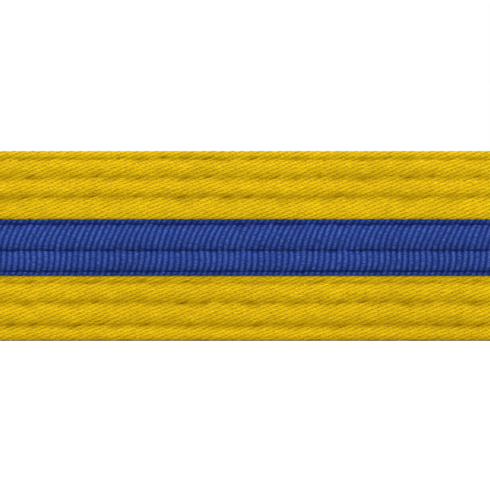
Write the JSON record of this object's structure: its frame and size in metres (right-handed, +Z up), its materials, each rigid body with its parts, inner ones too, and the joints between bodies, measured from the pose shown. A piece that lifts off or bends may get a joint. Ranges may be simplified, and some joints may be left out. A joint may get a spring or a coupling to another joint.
{
  "type": "martial arts belt",
  "caption": "Quilted yellow grade belt with a blue centre stripe, rolled up, with one end laid out straight.",
  "frame": {"origin": "centre of the space the belt stands on, at its lower edge", "axes": "+X along the straight end, away from the roll; the straight end's front face looks along -Y; +Z up, across the belt's width"},
  "size_m": [0.2676, 0.1304, 0.04],
  "materials": {
    "yellow_twill": "2/1 cotton twill, matt",
    "core_cotton": "plain undyed cotton",
    "blue_grosgrain": "ribbed polyester ribbon, soft sheen",
    "yellow_thread": "spun polyester thread",
    "blue_thread": "spun polyester thread"
  },
  "bodies": {
    "root": {"cover": "yellow_twill", "core_ply_1": "core_cotton", "core_ply_2": "core_cotton", "core_ply_3": "core_cotton", "core_ply_4": "core_cotton", "ribbon_front": "blue_grosgrain", "ribbon_back": "blue_grosgrain", "needle_thread_1": "yellow_thread", "bobbin_thread_1": "yellow_thread", "needle_thread_2": "yellow_thread", "bobbin_thread_2": "yellow_thread", "needle_thread_3": "yellow_thread", "bobbin_thread_3": "yellow_thread", "needle_thread_4": "blue_thread", "bobbin_thread_4": "blue_thread", "needle_thread_5": "blue_thread", "bobbin_thread_5": "blue_thread", "needle_thread_6": "blue_thread", "bobbin_thread_6": "blue_thread", "needle_thread_7": "yellow_thread", "bobbin_thread_7": "yellow_thread", "needle_thread_8": "yellow_thread", "bobbin_thread_8": "yellow_thread", "needle_thread_9": "yellow_thread", "bobbin_thread_9": "yellow_thread", "inner_end_needle_thread": "yellow_thread", "inner_end_bobbin_thread": "yellow_thread", "tail_end_needle_thread": "yellow_thread", "tail_end_bobbin_thread": "yellow_thread"}
  },
  "joints": []
}
